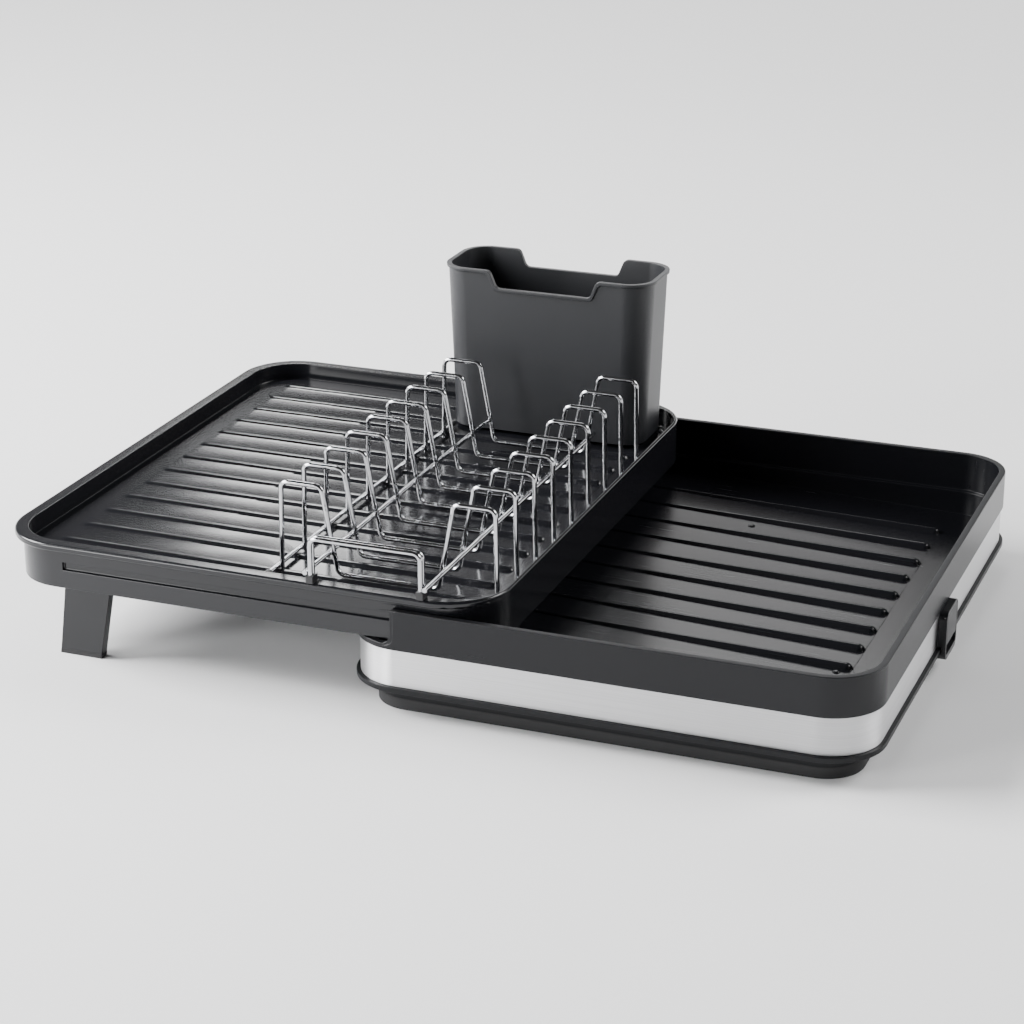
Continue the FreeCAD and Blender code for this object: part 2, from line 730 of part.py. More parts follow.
def makeDrainHousing():
    body = newBody("DrainHousing")
    sketch = newSketch(body, "DrainFace", "YZ_Plane", drainLeft)
    roundedRectangle(sketch, drainFront, drainBack, size("drainBottom"), size("drainTop"), size("drainCorner"))
    pad(body, sketch, drainRight - drainLeft)
    wall = size("drainSideWall")
    recess = block("DrainRecess",
                   (drainLeft + size("drainBackPlate"), drainFront + wall, size("drainBottom") + size("drainLip")),
                   (drainRight + overcut, drainBack - wall, size("flapPinHeight") + size("flapThickness") / 2
                    + slideGap))
    flangeRoom = block("FlangeRoom",
                       (steelLeft, drainFront - overcut, coverTop - slideGap),
                       (steelRight + size("flangeProud") + slideGap, drainBack + overcut,
                        size("steelBottom") + slideGap))
    neckEnd = steelRight + basinOuter + size("sealThickness")
    neck = rod("DrainNeck", (neckEnd, size("drainCentre"), size("neckHeight")), "X", size("neckRadius"),
               drainLeft + size("drainBackPlate") / 2 - neckEnd)
    housing = cut("DrainShell", body, fuse("DrainHollow", recess, flangeRoom))
    housing = fuse("DrainWithNeck", housing, neck)
    bore = rod("NeckBore", (neckEnd - overcut, size("drainCentre"), size("neckHeight")), "X", size("neckBore"),
               drainRight - neckEnd + overcut)
    pinHole = rod("FlapPinHole", (flapPinAlong, drainFront + slideGap * 2, size("flapPinHeight")), "Y",
                  size("flapPinRadius") + pinFit / 2, size("drainWidth") - slideGap * 4)
    return keep(cut("drain_housing", housing, fuse("DrainBores", bore, pinHole)), "drain_housing")


def makeDrainSeal():
    start = steelRight + basinOuter
    outer = rod("SealOuter", (start, size("drainCentre"), size("neckHeight")), "X",
                size("neckRadius") + size("sealProud"), size("sealThickness"))
    inner = rod("SealInner", (start - overcut, size("drainCentre"), size("neckHeight")), "X",
                size("neckBore"), size("sealThickness") + 2 * overcut)
    return keep(cut("drain_seal", outer, inner), "drain_seal")


def makeDrainFlap():
    wall = size("drainSideWall") + slideGap
    front = drainFront + wall
    back = drainBack - wall
    bottom = size("drainBottom") + size("drainLip") + size("drainMouth")
    half = size("flapThickness") / 2
    plate = block("FlapPlate", (drainRight - size("flapThickness") + slideGap, front, bottom),
                  (drainRight, back, size("flapPinHeight")))
    barrel = rod("FlapBarrel", (flapPinAlong, front, size("flapPinHeight")), "Y", half, back - front)
    hole = rod("FlapBore", (flapPinAlong, front - overcut, size("flapPinHeight")), "Y",
               size("flapPinRadius") + pinFit, back - front + 2 * overcut)
    return keep(cut("drain_flap", fuse("FlapSolid", plate, barrel), hole), "drain_flap")


def makeFlapPin():
    start = drainFront + slideGap * 3
    pin = rod("flap_pin", (flapPinAlong, start, size("flapPinHeight")), "Y", size("flapPinRadius"),
              size("drainWidth") - slideGap * 6)
    return keep(pin, "flap_pin")


# Guide tabs that carry the sliding tray, one on each long wall of the base

def makeGuideTab(node, side):
    # side is -1 for the front wall and +1 for the back wall
    wallFace = bandHalf - size("bandWall")
    skirtFace = traySkirtHalf
    plateInner = skirtFace + slideGap
    reach = skirtFace - size("tabReach")
    margin = size("tabPlateMargin")
    bottom = size("tabBottom")
    top = bottom + size("tabHeight")
    left = bandLeft + size("notchLength") + size("tabPastNotch")
    right = left + size("tabLength")

    def spanY(near, far):
        return (near, far) if side > 0 else (-far, -near)

    plateY = spanY(plateInner, wallFace)
    plate = block(node + "Plate", (left - margin, plateY[0], bottom - margin),
                  (right + margin, plateY[1], top + margin))
    tabY = spanY(reach, wallFace)
    tab = block(node + "Tab", (left, tabY[0], bottom), (right, tabY[1], top))
    return keep(fuse(node, plate, tab), node)


# Sliding tray

trayLeft = size("trayLeft")
trayRight = size("trayRight")
traySkirtHalf = bandHalf - size("bandWall") - size("skirtPlay")
trayHalf = traySkirtHalf + size("rimOverhang")
skirtLeft = trayLeft + size("rimOverhang")
skirtCorner = size("rimCorner") - size("rimOverhang")
trayInnerHalf = trayHalf - size("rimWidth")
trayInnerLeft = trayLeft + size("rimWidth")
trayInnerRight = trayRight - size("rightLip")
trayInnerCorner = size("rimCorner") - size("rimWidth")
traySlope = (size("floorLeft") - size("floorRight")) / (trayInnerRight - trayInnerLeft)


def trayFloorAt(along):
    return size("floorLeft") - traySlope * (along - trayInnerLeft)


def belowTrayFloor(name, drop):
    left = trayLeft - overcut
    right = trayRight + overcut
    deep = size("skirtBottom") - overcut
    points = [(left, deep), (right, deep), (right, trayFloorAt(right) - drop), (left, trayFloorAt(left) - drop)]
    return sideSlab(name, points, 2 * (trayHalf + overcut))


def aboveTrayFloor(name, drop):
    left = trayLeft - overcut
    right = trayRight + overcut
    high = size("rimTop") + overcut
    points = [(left, trayFloorAt(left) - drop), (right, trayFloorAt(right) - drop), (right, high), (left, high)]
    return sideSlab(name, points, 2 * (trayHalf + overcut))


def makeTray():
    rim = prism("Rim", (trayLeft, trayRight, -trayHalf, trayHalf, size("rimCorner")),
                size("rimBottom"), size("rimTop"))
    rimPad = rim.Tip
    flatFaces = ["Face%d" % number for number, face in enumerate(rimPad.Shape.Faces, 1)
                 if abs(face.normalAt(0, 0).z) > 0.99]
    rimEdges = rim.newObject("PartDesign::Fillet", "RimRound")
    rimEdges.Base = (rimPad, flatFaces)
    bind(rimEdges, "Radius", size("rimRound"))
    doc.recompute()
    skirt = prism("Skirt", (skirtLeft, trayRight, -traySkirtHalf, traySkirtHalf, skirtCorner),
                  size("skirtBottom"), size("rimTop") - size("rimRound"))
    outer = fuse("TrayBlock", rim, skirt)
    gutterDrop = size("gutterDepth")
    upper = prism("TrayUpper", (trayInnerLeft, trayInnerRight, -trayInnerHalf, trayInnerHalf, trayInnerCorner),
                  size("skirtBottom"), size("rimTop") + overcut)
    upper = cut("TrayHollow", upper, belowTrayFloor("UnderGutter", gutterDrop))
    floorHalf = trayInnerHalf - size("gutterWidth")
    floorPlate = prism("TrayFloor", (trayInnerLeft + size("gutterWidth"), trayRight - size("rightLip") / 2,
                                     -floorHalf, floorHalf, trayInnerCorner - size("gutterWidth")),
                       size("skirtBottom"), size("rimTop"))
    floorPlate = cut("TrayFloorTop", floorPlate, aboveTrayFloor("OverFloor", nothing))
    lowerWall = size("skirtWall")
    lower = prism("TrayLower", (skirtLeft + lowerWall, trayRight - size("rightLip"),
                                -traySkirtHalf + lowerWall, traySkirtHalf - lowerWall, skirtCorner - lowerWall),
                  size("skirtBottom") - overcut, size("rimBottom"))
    underDrop = gutterDrop + size("traySheet")
    lower = cut("TrayLowerHollow", lower, aboveTrayFloor("OverUnderside", underDrop))
    tray = cut("TrayHollowed", outer, upper)
    tray = fuse("TrayWithFloor", tray, floorPlate)
    tray = cut("TrayShell", tray, lower)
    top = size("trayRibTop")
    ribs = taperedRibs("TrayRibs", size("trayRibCount"), size("trayRibPitch"), size("trayRibLeft"),
                       size("trayRibRight"), top, top, size("trayRibTip"), size("trayRibNose"))
    ribs = cut("TrayRibsTrimmed", ribs, belowTrayFloor("UnderTrayRibs", size("traySheet") / 2))
    slotLeft = size("slotLeft")
    slotRight = trayRight - size("slotEndMargin")
    slotTop = size("slotBottom") + size("slotHeight")
    slotDeep = traySkirtHalf - size("skirtWall")
    slotOut = traySkirtHalf + overcut
    backing = size("slotBacking")
    railLeft = slotLeft - backing
    railRight = slotRight + backing
    railTop = slotTop + backing / 2
    frontRail = block("FrontRail", (railLeft, -slotDeep - backing / 2, size("slotBottom") - backing / 10),
                      (railRight, -slotDeep + backing, railTop))
    backRail = block("BackRail", (railLeft, slotDeep - backing, size("slotBottom") - backing / 10),
                     (railRight, slotDeep + backing / 2, railTop))
    tray = fuse("TrayWithRails", tray, frontRail, backRail)
    frontSlot = block("FrontSlot", (slotLeft, -slotOut, size("slotBottom")), (slotRight, -slotDeep, slotTop))
    backSlot = block("BackSlot", (slotLeft, slotDeep, size("slotBottom")), (slotRight, slotOut, slotTop))
    tray = cut("TraySlotted", fuse("TrayRibbed", tray, ribs), fuse("TraySlots", frontSlot, backSlot))
    return keep(tray, "extension_tray")


# Folding legs under the tray's left end

legMiddle = traySkirtHalf - size("legInset")
legLean = (size("legTopLeft") - size("legBottomLeft")) / size("hingeHeight")
# The leg leans past its hinge, so the left ear stands off by what sweeps past the ear's corner.
legPinLeft = size("legTopLeft") - legLean * size("earWidth") * 0.75 - slideGap - size("earThickness")


def makeLeg(node, side):
    middle = side * legMiddle
    half = size("legThickness") / 2
    hinge = size("hingeHeight")
    left, width = size("legTopLeft"), size("legTopWidth")
    foot, footWidth = size("legBottomLeft"), size("legBottomWidth")
    rise = size("legPadHeight")
    slant = legLean
    slantRight = (left + width - foot - footWidth) / hinge
    body = newBody(node + "Body")
    sketch = newSketch(body, node + "Profile", "XZ_Plane", -middle)
    points = [(foot + slant * rise, rise), (foot + footWidth + slantRight * rise, rise),
              (left + width, hinge), (left, hinge)]
    polygon(sketch, points)
    pad(body, sketch, 2 * half, both=True)
    knuckle = rod(node + "Knuckle", (left, middle, hinge), "X", size("legKnuckle"), width)
    bore = rod(node + "Bore", (left - overcut, middle, hinge), "X", size("legPinRadius") + pinFit,
               width + 2 * overcut)
    return keep(cut(node, fuse(node + "Solid", body, knuckle), bore), node)


def makeLegPad(node, side):
    middle = side * legMiddle
    left, width = size("legTopLeft"), size("legTopWidth")
    foot, footWidth = size("legBottomLeft"), size("legBottomWidth")
    rise = size("legPadHeight")
    slant = legLean
    slantRight = (left + width - foot - footWidth) / size("hingeHeight")
    body = newBody(node + "Body")
    sketch = newSketch(body, node + "Profile", "XZ_Plane", -middle)
    points = [(foot, nothing), (foot + footWidth, nothing),
              (foot + footWidth + slantRight * rise, rise), (foot + slant * rise, rise)]
    polygon(sketch, points)
    pad(body, sketch, size("legThickness"), both=True)
    return keep(body, node)


def makeLegBracket(node, side):
    inner = traySkirtHalf - size("skirtWall")
    plateInner = inner - size("bracketPlate")
    middle = legMiddle
    ear = size("earThickness")
    left = legPinLeft
    right = size("legTopLeft") + size("legTopWidth") + slideGap
    low = size("hingeHeight") - size("earWidth") / 2
    high = size("hingeHeight") + size("earWidth") / 2
    earInner = middle - size("earWidth") / 2

    def slab(name, start, end, near, far, bottom, top):
        low3 = (start, near if side > 0 else -far, bottom)
        high3 = (end, far if side > 0 else -near, top)
        return block(node + name, low3, high3)

    plate = slab("Plate", left, right + ear, plateInner, inner, low, high)
    leftEar = slab("LeftEar", left, left + ear, earInner, inner, low, high)
    rightEar = slab("RightEar", right, right + ear, earInner, inner, low, high)
    hole = rod(node + "Hole", (left - overcut, side * middle, size("hingeHeight")), "X",
               size("legPinRadius") + pinFit / 2, right + ear - left + 2 * overcut)
    return keep(cut(node, fuse(node + "Solid", plate, leftEar, rightEar), hole), node)


def makeLegPin(node, side):
    right = size("legTopLeft") + size("legTopWidth") + slideGap + size("earThickness")
    pin = rod(node, (legPinLeft, side * legMiddle, size("hingeHeight")), "X",
              size("legPinRadius"), right - legPinLeft)
    return keep(pin, node)


# Wire plate rack that stands on the tray's ribs

wireRadius = size("wireDiameter") / 2
firstWire = size("firstWireFromRib") - size("trayRibPitch") * (size("trayRibCount") - 1) / 2
runHeight = size("trayRibTop") + slideGap + wireRadius
footRailOffset = size("hoopFoot") + size("wireDiameter") + weldGap
rackCentre = trayInnerRight - size("rackRightGap") - wireRadius - footRailOffset
wireTop = runHeight + size("wireHeight")
footEnd = size("trayRibTop") + slideGap


def bentWire(node, across, points):
    # One round wire bent in a plane across the rack, at the place `across` along Y.
    body = newBody(node + "Wire")
    path = newSketch(body, node + "Path", "XZ_Plane")
    bentPath(path, points, size("wireBend"))
    section = newSketch(body, node + "Section", "XY_Plane", points[0][1])
    circle(section, points[0][0], nothing, wireRadius)
    doc.recompute()
    pipe = body.newObject("PartDesign::AdditivePipe", node + "Pipe")
    pipe.Profile = section
    pipe.Spine = path
    bind(body, "Placement.Base.y", across)
    doc.recompute()
    return keep(body, node)


def makePlateWire(place):
    across = firstWire + size("wirePitch") * (place - 1)
    foot, outer = size("hoopFoot"), size("hoopOuter")
    inner, bend = size("hoopInner"), size("baseBend")
    half = [(foot, footEnd), (outer, wireTop), (inner, wireTop), (bend, runHeight)]
    points = [(rackCentre - x, z) for x, z in half] + [(rackCentre + x, z) for x, z in reversed(half)]
    return bentWire("plate_wire_%d" % place, across, points)


slopeAcross = (size("hoopInner") - size("baseBend")) / size("wireHeight")
upperRailOffset = size("baseBend") + slopeAcross * size("upperRailRise") + 1.018 * (
    size("wireDiameter") + weldGap)
guardLegOffset = upperRailOffset - size("wireDiameter") - weldGap
lastWire = firstWire + size("wirePitch") * (size("wireCount") - 1)
guardPlace = size("guardInset") - trayHalf
guardHalf = (size("wireDiameter") + weldGap) / 2


def makeGuardWire(node, shift):
    across = guardPlace + shift * guardHalf
    standing = size("rimTop") + slideGap + size("guardCapFloor") + weldGap
    top = runHeight + size("guardHeight")
    legs = [(rackCentre - guardLegOffset, standing), (rackCentre - guardLegOffset, top),
            (rackCentre + guardLegOffset, top), (rackCentre + guardLegOffset, standing)]
    return bentWire(node, across, legs)


def makeUpperRail(node, side):
    start = guardPlace - size("wireDiameter")
    rail = rod(node, (rackCentre + side * upperRailOffset, start, runHeight + size("upperRailRise")), "Y",
               wireRadius, lastWire + size("wireDiameter") - start)
    return keep(rail, node)


def makeLeftFootRail():
    start = firstWire - size("footRailAhead")
    rail = rod("left_foot_rail", (rackCentre - footRailOffset, start, runHeight), "Y", wireRadius,
               lastWire + size("footRailBeyond") - start)
    return keep(rail, "left_foot_rail")


def makeRightFootRail():
    # A straight rail whose rear end hooks in towards the cutlery holder.
    body = newBody("RightFootRail")
    path = newSketch(body, "RightRailPath", "XY_Plane", runHeight)
    across = rackCentre + footRailOffset
    start = firstWire - wireRadius
    turn = lastWire + size("hookForward")
    bentPath(path, [(across, start), (across, turn),
                    (across - size("hookReach"), turn + size("hookLength"))], size("wireBend"))
    section = newSketch(body, "RightRailSection", "XZ_Plane", -start)
    circle(section, across, runHeight, wireRadius)
    doc.recompute()
    pipe = body.newObject("PartDesign::AdditivePipe", "RightRailPipe")
    pipe.Profile = section
    pipe.Spine = path
    doc.recompute()
    return keep(body, "right_foot_rail")


def makeRailCaps():
    # Push-on end caps of the left foot rail, and one cap under each pair of guard legs.
    left = rackCentre - footRailOffset
    ends = [(left, firstWire - size("footRailAhead"), -1),
            (left, lastWire + size("footRailBeyond"), 1)]
    caps = []
    for place, (across, end, way) in enumerate(ends):
        length = size("capLength")
        start = end - length / 2 if way > 0 else end + length / 2 - length
        outer = rod("CapOuter%d" % (place + 1), (across, start, runHeight), "Y",
                    wireRadius + weldGap + size("capWall"), length)
        boreStart = start - overcut if way > 0 else end
        bore = rod("CapBore%d" % (place + 1), (across, boreStart, runHeight), "Y", wireRadius + weldGap,
                   overcut + length / 2)
        caps.append(cut("Cap%d" % (place + 1), outer, bore))
    wall = wireRadius + size("capWall")
    floor = size("rimTop") + slideGap
    for place, across in enumerate([rackCentre - guardLegOffset, rackCentre + guardLegOffset]):
        reach = wall + wireRadius + weldGap / 2
        outer = block("GuardCapOuter%d" % (place + 1), (across - wall, guardPlace - reach, floor),
                      (across + wall, guardPlace + reach, floor + size("guardCapHeight")))
        bores = [rod("GuardCapBore%d_%d" % (place + 1, number),
                     (across, guardPlace + shift * guardHalf, floor + size("guardCapFloor")), "Z",
                     wireRadius + weldGap, size("guardCapHeight"))
                 for number, shift in ((1, -1), (2, 1))]
        caps.append(cut("GuardCap%d" % (place + 1), outer, fuse("GuardCapBores%d" % (place + 1), *bores)))
    group = doc.addObject("Part::Compound", "rail_caps")
    group.Links = caps
    return keep(group, "rail_caps")


# Cutlery holder

holderAcross = trayInnerHalf - size("holderFromBack")
holderBottom = size("trayRibTop") + slideGap


def holderLoft(name, inset, bottom):
    # Tapered box between the holder's bottom and top outlines, both moved in by `inset`.
    body = newBody(name)
    halfX, halfY = size("holderLength") / 2, size("holderDepth") / 2
    x, y = size("holderCentreX"), holderAcross
    outlines = [(bottom, size("holderTaperX"), size("holderTaperY"), size("holderCornerBottom")),
                (size("holderTop"), nothing, nothing, size("holderCornerTop"))]
    sketches = []
    for place, (level, taperX, taperY, corner) in enumerate(outlines):
        sketch = newSketch(body, "%sSection%d" % (name, place + 1), "XY_Plane", level)
        roundedRectangle(sketch, x - halfX + taperX + inset, x + halfX - taperX - inset,
                         y - halfY + taperY + inset, y + halfY - taperY - inset, corner - inset)
        sketches.append(sketch)
    doc.recompute()
    loft = body.newObject("PartDesign::AdditiveLoft", name + "Loft")
    loft.Profile = sketches[0]
    loft.Sections = [sketches[1]]
    loft.Ruled = True
    doc.recompute()
    return body


def dipPoints(drop):
    # The scooped top edge, seen from the front, moved into the wall by `drop` all along.
    middle = size("holderCentreX")
    top = size("holderTop") - drop
    bottom = top - size("dipDepth")
    run = size("dipTopHalf") - size("dipBottomHalf")
    spread = drop * (slant(run, size("dipDepth")) - run) / size("dipDepth")
    upper = size("dipTopHalf") + spread
    lower = size("dipBottomHalf") + spread
    far = size("holderLength")
    high = size("holderTop") + overcut
    return [(middle - far, high), (middle - far, top), (middle - upper, top), (middle - lower, bottom),
            (middle + lower, bottom), (middle + upper, top), (middle + far, top), (middle + far, high)]


def makeHolder():
    width = 4 * holderAcross
    outer = holderLoft("HolderOuter", nothing, holderBottom)
    inner = holderLoft("HolderInner", size("holderWall"), holderBottom + size("holderFloor"))
    rimOuter = holderLoft("HolderRimOuter", -size("holderRimProud"), holderBottom)
    rimInner = holderLoft("HolderRimInner", size("holderWall"), holderBottom - overcut)
    aboveEdge = sideSlab("AboveEdge", dipPoints(nothing), width)
    roundCorners(aboveEdge, dipPoints(nothing)[2:6], size("dipRound"))
    rimDrop = size("holderRimHeight")
    nearEdge = sideSlab("NearEdge", dipPoints(rimDrop), width)
    roundCorners(nearEdge, dipPoints(rimDrop)[2:6], size("dipRound"))
    shell = cut("HolderShell", outer, inner)
    rim = common("HolderRim", cut("HolderRimRing", rimOuter, rimInner), nearEdge)
    shell = cut("HolderScooped", fuse("HolderWithRim", shell, rim), aboveEdge)
    slots = []
    count = size("drainSlotCount")
    for place in range(int(count.number)):
        across = size("holderCentreX") + size("drainSlotPitch") * (place - (count.number - 1) / 2)
        half = size("drainSlotWidth") / 2
        reach = size("drainSlotLength") / 2
        slots.append(block("HolderSlot%d" % (place + 1),
                           (across - half, holderAcross - reach, holderBottom - overcut),
                           (across + half, holderAcross + reach,
                            holderBottom + size("holderFloor") + overcut)))
    return keep(cut("cutlery_holder", shell, fuse("HolderSlots", *slots)), "cutlery_holder")


# Build every piece

makeBaseTray()
makeSteelBand()
makeBottomCover()
makeFootRing()
makeScrews()
makeDrainHousing()
makeDrainSeal()
makeDrainFlap()
makeFlapPin()
makeGuideTab("guide_tab_front", -1)
makeGuideTab("guide_tab_back", 1)
makeTray()
for side, where in ((-1, "front"), (1, "back")):
    makeLeg("leg_" + where, side)
    makeLegPad("leg_pad_" + where, side)
    makeLegBracket("leg_bracket_" + where, side)
    makeLegPin("leg_pin_" + where, side)
for place in range(1, int(size("wireCount").number) + 1):
    makePlateWire(place)
makeGuardWire("guard_wire_outer", -1)
makeGuardWire("guard_wire_inner", 1)
makeUpperRail("upper_rail_left", -1)
makeUpperRail("upper_rail_right", 1)
makeLeftFootRail()
makeRightFootRail()
makeRailCaps()
makeHolder()
doc.recompute()

# Nothing is written unless the whole document and each piece are sound.
for item in doc.Objects:
    if "Invalid" in item.State or "Error" in item.State:
        raise RuntimeError("%s failed: %s" % (item.Label, item.State))
for node, item in parts.items():
    if item.Shape.isNull() or not item.Shape.isValid():
        raise RuntimeError("%s has no sound shape" % node)

os.makedirs("parts", exist_ok=True)
for node, item in parts.items():
    item.Shape.exportStep("parts/%s.step" % node)
    box = item.Shape.BoundBox
    print("%-20s solids %d  volume %9.1f  x %.1f..%.1f  y %.1f..%.1f  z %.1f..%.1f" % (
        node, len(item.Shape.Solids), item.Shape.Volume, box.XMin, box.XMax, box.YMin, box.YMax,
        box.ZMin, box.ZMax))
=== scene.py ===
import math

import bmesh
import bpy
from mathutils import Matrix, Vector


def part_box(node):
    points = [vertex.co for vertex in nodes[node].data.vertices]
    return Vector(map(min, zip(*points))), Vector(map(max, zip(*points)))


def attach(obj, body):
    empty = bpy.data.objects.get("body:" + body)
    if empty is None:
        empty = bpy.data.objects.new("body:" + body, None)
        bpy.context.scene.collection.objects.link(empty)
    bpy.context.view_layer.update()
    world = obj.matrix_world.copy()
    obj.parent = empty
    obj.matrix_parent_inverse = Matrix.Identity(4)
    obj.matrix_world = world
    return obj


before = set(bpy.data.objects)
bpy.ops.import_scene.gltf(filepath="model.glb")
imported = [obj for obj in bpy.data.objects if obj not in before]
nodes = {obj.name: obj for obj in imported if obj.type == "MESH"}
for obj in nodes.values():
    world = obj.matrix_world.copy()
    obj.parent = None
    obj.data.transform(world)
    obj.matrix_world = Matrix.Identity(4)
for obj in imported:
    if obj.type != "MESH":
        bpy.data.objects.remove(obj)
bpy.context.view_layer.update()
print("frame loaded,", len(nodes), "nodes")

# Camera, where the photographer stood

cameraSettings = {
    "place": (0.60556, -1.59530, 0.72358),
    "right": (0.93281, 0.36037, -0.00186),
    "down": (0.12807, -0.33632, -0.93300),
    "forward": (-0.33685, 0.87007, -0.35988),
    "lens": 93.44,
    "sensor": 36.0,
    "clip": (0.05, 50),
}


def makeCamera():
    data = bpy.data.cameras.new("Camera")
    data.sensor_width = cameraSettings["sensor"]
    data.lens = cameraSettings["lens"]
    data.clip_start, data.clip_end = cameraSettings["clip"]
    camera = bpy.data.objects.new("Camera", data)
    bpy.context.collection.objects.link(camera)
    right, down, forward = (Vector(cameraSettings[way]) for way in ("right", "down", "forward"))
    turn = Matrix((right, -down, -forward)).transposed().to_4x4()
    camera.matrix_world = Matrix.Translation(cameraSettings["place"]) @ turn
    bpy.context.scene.camera = camera


makeCamera()
print("camera ready")

# Materials

# colours in linear light; grain and relief are strengths of a bump
materialSettings = {
    "blackPlastic": {
        "colour": (0.0080, 0.0084, 0.0100), "roughness": 0.34, "ior": 1.45, "grain": 0.10,
    },
    "coverPlastic": {
        "colour": (0.0050, 0.0053, 0.0064), "roughness": 0.38, "ior": 1.30, "grain": 0.10,
    },
    "basePlastic": {
        "colour": (0.0050, 0.0053, 0.0068), "roughness": 0.26, "ior": 1.34, "grain": 0.012,
        "streak": 0.03, "rimNode": "base_tray", "rimMatt": 0.22,
    },
    "trayPlastic": {
        "colour": (0.0080, 0.0084, 0.0104), "roughness": 0.17, "ior": 1.45, "grain": 0.004,
        "streak": 0.015, "rimNode": "extension_tray", "rimMatt": 0.05,
    },
    "holderPlastic": {
        "colour": (0.0150, 0.0158, 0.0185), "roughness": 0.42, "ior": 1.5, "grain": 0.12,
    },
    "capPlastic": {
        "colour": (0.010, 0.010, 0.011), "roughness": 0.30, "ior": 1.5, "grain": 0.05,
    },
    "gripRubber": {
        "colour": (0.016, 0.016, 0.017), "roughness": 0.78, "ior": 1.5, "grain": 0.30,
    },
    "brushedSteel": {
        "colour": (0.68, 0.68, 0.69), "roughness": 0.42, "relief": 0.25,
        "stretch": (5, 5, 1100), "contrast": 0.20, "anisotropy": 0.88,
    },
    "screwSteel": {
        "colour": (0.56, 0.56, 0.57), "roughness": 0.34, "relief": 0.25,
        "stretch": (900, 900, 300), "contrast": 0.12,
    },
    "chromeWire": {
        "colour": (0.50, 0.505, 0.52), "roughness": 0.07, "relief": 0.004,
        "stretch": (160, 160, 160), "contrast": 0.04,
    },
}


def socket(group, name, way, kind, value=None):
    made = group.interface.new_socket(name=name, in_out=way, socket_type=kind)
    if value is not None:
        made.default_value = value


grainSettings = {
    "scale": 1500.0,
    "detail": 3,
    "depth": 0.0002,
    "broadScale": 14,
    "broadDetail": 4,
    "broadSpread": 0.02,
}


def makeGrainGroup():
    # Moulded grain: a fine height and a soft change in roughness over the surface.
    group = bpy.data.node_groups.new("mouldedGrain", "ShaderNodeTree")
    socket(group, "Roughness", "INPUT", "NodeSocketFloat", 0.4)
    socket(group, "Grain Scale", "INPUT", "NodeSocketFloat", grainSettings["scale"])
    socket(group, "Roughness", "OUTPUT", "NodeSocketFloat")
    socket(group, "Height", "OUTPUT", "NodeSocketFloat")
    links = group.links
    entry = group.nodes.new("NodeGroupInput")
    leave = group.nodes.new("NodeGroupOutput")
    place = group.nodes.new("ShaderNodeTexCoord")
    fine = group.nodes.new("ShaderNodeTexNoise")
    fine.inputs["Detail"].default_value = grainSettings["detail"]
    broad = group.nodes.new("ShaderNodeTexNoise")
    broad.inputs["Scale"].default_value = grainSettings["broadScale"]
    broad.inputs["Detail"].default_value = grainSettings["broadDetail"]
    spread = group.nodes.new("ShaderNodeMapRange")
    spread.inputs["To Min"].default_value = -grainSettings["broadSpread"]
    spread.inputs["To Max"].default_value = grainSettings["broadSpread"]
    add = group.nodes.new("ShaderNodeMath")
    links.new(place.outputs["Object"], fine.inputs["Vector"])
    links.new(place.outputs["Object"], broad.inputs["Vector"])
    links.new(entry.outputs["Grain Scale"], fine.inputs["Scale"])
    links.new(broad.outputs["Fac"], spread.inputs["Value"])
    links.new(spread.outputs["Result"], add.inputs[0])
    links.new(entry.outputs["Roughness"], add.inputs[1])
    links.new(add.outputs[0], leave.inputs["Roughness"])
    links.new(fine.outputs["Fac"], leave.inputs["Height"])
    return group


streakSettings = {
    "detail": 4,
    "fineness": 0.65,
    "trayStretch": (6, 500, 60),
    "steelDepth": 0.0001,
    "steelSpread": (-0.05, 0.08),
    "steelTurn": 0.25,
}


def makeStreakGroup():
    # Fine lines: a noise squeezed along the directions in Stretch.
    group = bpy.data.node_groups.new("fineStreaks", "ShaderNodeTree")
    socket(group, "Stretch", "INPUT", "NodeSocketVector")
    socket(group, "Height", "OUTPUT", "NodeSocketFloat")
    links = group.links
    entry = group.nodes.new("NodeGroupInput")
    leave = group.nodes.new("NodeGroupOutput")
    place = group.nodes.new("ShaderNodeTexCoord")
    scale = group.nodes.new("ShaderNodeVectorMath")
    scale.operation = "MULTIPLY"
    noise = group.nodes.new("ShaderNodeTexNoise")
    noise.inputs["Scale"].default_value = 1
    noise.inputs["Detail"].default_value = streakSettings["detail"]
    noise.inputs["Roughness"].default_value = streakSettings["fineness"]
    links.new(place.outputs["Object"], scale.inputs[0])
    links.new(entry.outputs["Stretch"], scale.inputs[1])
    links.new(scale.outputs[0], noise.inputs["Vector"])
    links.new(noise.outputs["Fac"], leave.inputs["Height"])
    return group


rimSettings = {
    "depth": 0.001,
}


